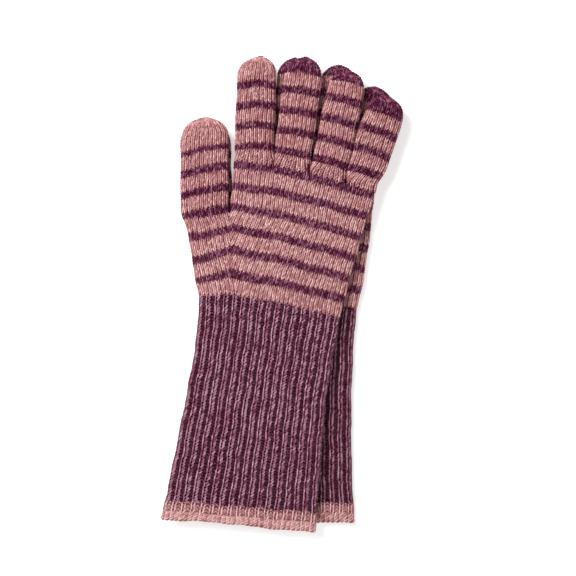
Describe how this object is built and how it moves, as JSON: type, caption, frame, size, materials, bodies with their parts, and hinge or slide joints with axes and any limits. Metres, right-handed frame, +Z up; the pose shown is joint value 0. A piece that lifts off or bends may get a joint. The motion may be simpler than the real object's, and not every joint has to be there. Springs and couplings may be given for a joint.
{
  "type": "knitted gloves",
  "caption": "Pair of long striped knitted gloves with ribbed cuffs, laid flat one on the other; hollow tubes for hand, thumb and fingers.",
  "frame": {"origin": "under the middle of the pair, on the surface it lies on", "axes": "+Y along the upper glove towards its fingertips, +X across it away from its thumb, +Z up from the surface"},
  "size_m": [0.1484, 0.3144, 0.0172],
  "materials": {
    "pink_yarn": "matt, slightly fuzzy wool yarn",
    "plum_yarn": "matt, marled plum wool yarn"
  },
  "bodies": {
    "lower_hand": {"lower_hand": "pink_yarn"},
    "lower_cuff": {"lower_cuff": "plum_yarn", "lower_hem": "pink_yarn"},
    "lower_thumb": {"lower_thumb": "pink_yarn"},
    "lower_index": {"lower_index": "pink_yarn"},
    "lower_middle": {"lower_middle": "plum_yarn"},
    "lower_ring": {"lower_ring": "pink_yarn"},
    "lower_little": {"lower_little": "plum_yarn"},
    "upper_hand": {"upper_hand": "pink_yarn"},
    "upper_cuff": {"upper_cuff": "plum_yarn", "upper_hem": "pink_yarn"},
    "upper_thumb": {"upper_thumb": "pink_yarn"},
    "upper_index": {"upper_index": "pink_yarn"},
    "upper_middle": {"upper_middle": "plum_yarn"},
    "upper_ring": {"upper_ring": "pink_yarn"},
    "upper_little": {"upper_little": "plum_yarn"}
  },
  "joints": [
    {"name": "upper_lift", "type": "slide", "parent": "lower_hand", "child": "upper_hand", "axis": [0, 0, 1], "range_m": [0, 0.06]},
    {"name": "upper_wrist_fold", "type": "hinge", "parent": "upper_hand", "child": "upper_cuff", "pos_m": [-0.0004, -0.0098, 0.0172], "axis": [-1, 0, 0], "range_deg": [0, 110]},
    {"name": "upper_thumb_curl", "type": "hinge", "parent": "upper_hand", "child": "upper_thumb", "pos_m": [-0.0504, 0.0382, 0.0172], "axis": [0.9895, 0.1444, 0], "range_deg": [0, 70]},
    {"name": "upper_index_curl", "type": "hinge", "parent": "upper_hand", "child": "upper_index", "pos_m": [-0.02442, 0.08495, 0.0172], "axis": [0.9945, 0.1045, 0], "range_deg": [0, 85]},
    {"name": "upper_middle_curl", "type": "hinge", "parent": "upper_hand", "child": "upper_middle", "pos_m": [0.00134, 0.0857, 0.0172], "axis": [0.9988, 0.0489, 0], "range_deg": [0, 85]},
    {"name": "upper_ring_curl", "type": "hinge", "parent": "upper_hand", "child": "upper_ring", "pos_m": [0.02568, 0.0842, 0.0172], "axis": [0.9978, -0.0663, 0], "range_deg": [0, 85]},
    {"name": "upper_little_curl", "type": "hinge", "parent": "upper_hand", "child": "upper_little", "pos_m": [0.04843, 0.08195, 0.0172], "axis": [0.9833, -0.1822, 0], "range_deg": [0, 85]},
    {"name": "lower_wrist_sway", "type": "hinge", "parent": "lower_hand", "child": "lower_cuff", "pos_m": [0.05481, -0.00259, 0.0042], "axis": [0, 0, 1], "range_deg": [0, 10]},
    {"name": "lower_thumb_splay", "type": "hinge", "parent": "lower_hand", "child": "lower_thumb", "pos_m": [-0.06308, 0.03143, 0.0042], "axis": [0, 0, 1], "range_deg": [0, 18]},
    {"name": "lower_index_splay", "type": "hinge", "parent": "lower_hand", "child": "lower_index", "pos_m": [-0.03993, 0.08102, 0.0042], "axis": [0, 0, 1], "range_deg": [0, 7.2]},
    {"name": "lower_middle_splay", "type": "hinge", "parent": "lower_hand", "child": "lower_middle", "pos_m": [-0.01341, 0.08646, 0.0042], "axis": [0, 0, 1], "range_deg": [0, 2.4]},
    {"name": "lower_ring_splay", "type": "hinge", "parent": "lower_hand", "child": "lower_ring", "pos_m": [0.03532, 0.08883, 0.0042], "axis": [0, 0, -1], "range_deg": [0, 4.8]},
    {"name": "lower_little_splay", "type": "hinge", "parent": "lower_hand", "child": "lower_little", "pos_m": [0.05681, 0.08868, 0.0042], "axis": [0, 0, -1], "range_deg": [0, 12]}
  ],
  "couplings": [
    {"joint": "lower_index_splay", "follows": "lower_thumb_splay", "ratio": 0.4},
    {"joint": "lower_middle_splay", "follows": "lower_thumb_splay", "ratio": 0.13333},
    {"joint": "lower_ring_splay", "follows": "lower_thumb_splay", "ratio": 0.26667},
    {"joint": "lower_little_splay", "follows": "lower_thumb_splay", "ratio": 0.66667}
  ]
}
